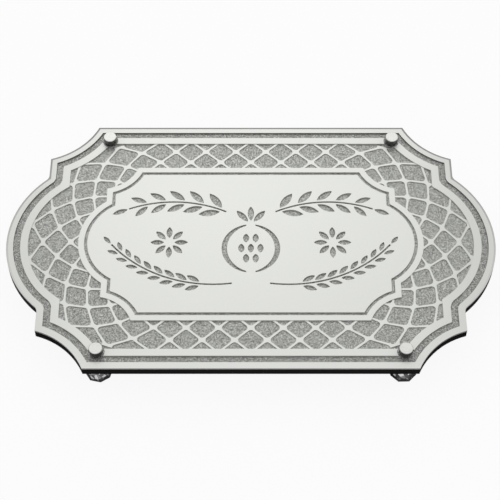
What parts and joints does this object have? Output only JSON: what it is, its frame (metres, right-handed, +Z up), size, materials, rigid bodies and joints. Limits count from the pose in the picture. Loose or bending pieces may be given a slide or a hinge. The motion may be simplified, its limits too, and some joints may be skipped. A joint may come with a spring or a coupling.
{
  "type": "challah tray",
  "caption": "Flat serving tray for bread with scooped corners: black board, glitter ground, silver rim, cut lattice border and pierced centre panel, on faceted feet bolted to round caps.",
  "frame": {"origin": "centre of the tray's outline, on the table plane under its feet", "axes": "+X along the length to the right, +Y from the front to the back, +Z up out of the face"},
  "size_m": [0.419, 0.251, 0.0405],
  "materials": {
    "black_board": "gloss black board",
    "glitter": "silver glitter under a clear coat",
    "silver_face": "satin silver sheet",
    "clear_pad": "soft clear pad",
    "plated_foot": "polished facets, darker towards the table",
    "polished_metal": "polished",
    "steel_thread": "plain steel",
    "dark_metal": "dark polished",
    "cap_metal": "satin top, polished sides"
  },
  "bodies": {
    "root": {"base_board": "black_board", "glitter_sheet": "glitter", "outer_rim": "silver_face", "fretwork": "silver_face", "centre_panel": "silver_face", "foot_pad_front_left": "clear_pad", "foot_pad_front_right": "clear_pad", "foot_pad_back_left": "clear_pad", "foot_pad_back_right": "clear_pad", "foot_front_left": "plated_foot", "foot_front_right": "plated_foot", "foot_back_left": "plated_foot", "foot_back_right": "plated_foot", "foot_collar_front_left": "polished_metal", "foot_collar_front_right": "polished_metal", "foot_collar_back_left": "polished_metal", "foot_collar_back_right": "polished_metal", "stem_front_left": "steel_thread", "stem_front_right": "steel_thread", "stem_back_left": "steel_thread", "stem_back_right": "steel_thread", "spacer_front_left": "dark_metal", "spacer_front_right": "dark_metal", "spacer_back_left": "dark_metal", "spacer_back_right": "dark_metal", "stud_cap_front_left": "cap_metal", "stud_cap_front_right": "cap_metal", "stud_cap_back_left": "cap_metal", "stud_cap_back_right": "cap_metal"}
  },
  "joints": []
}
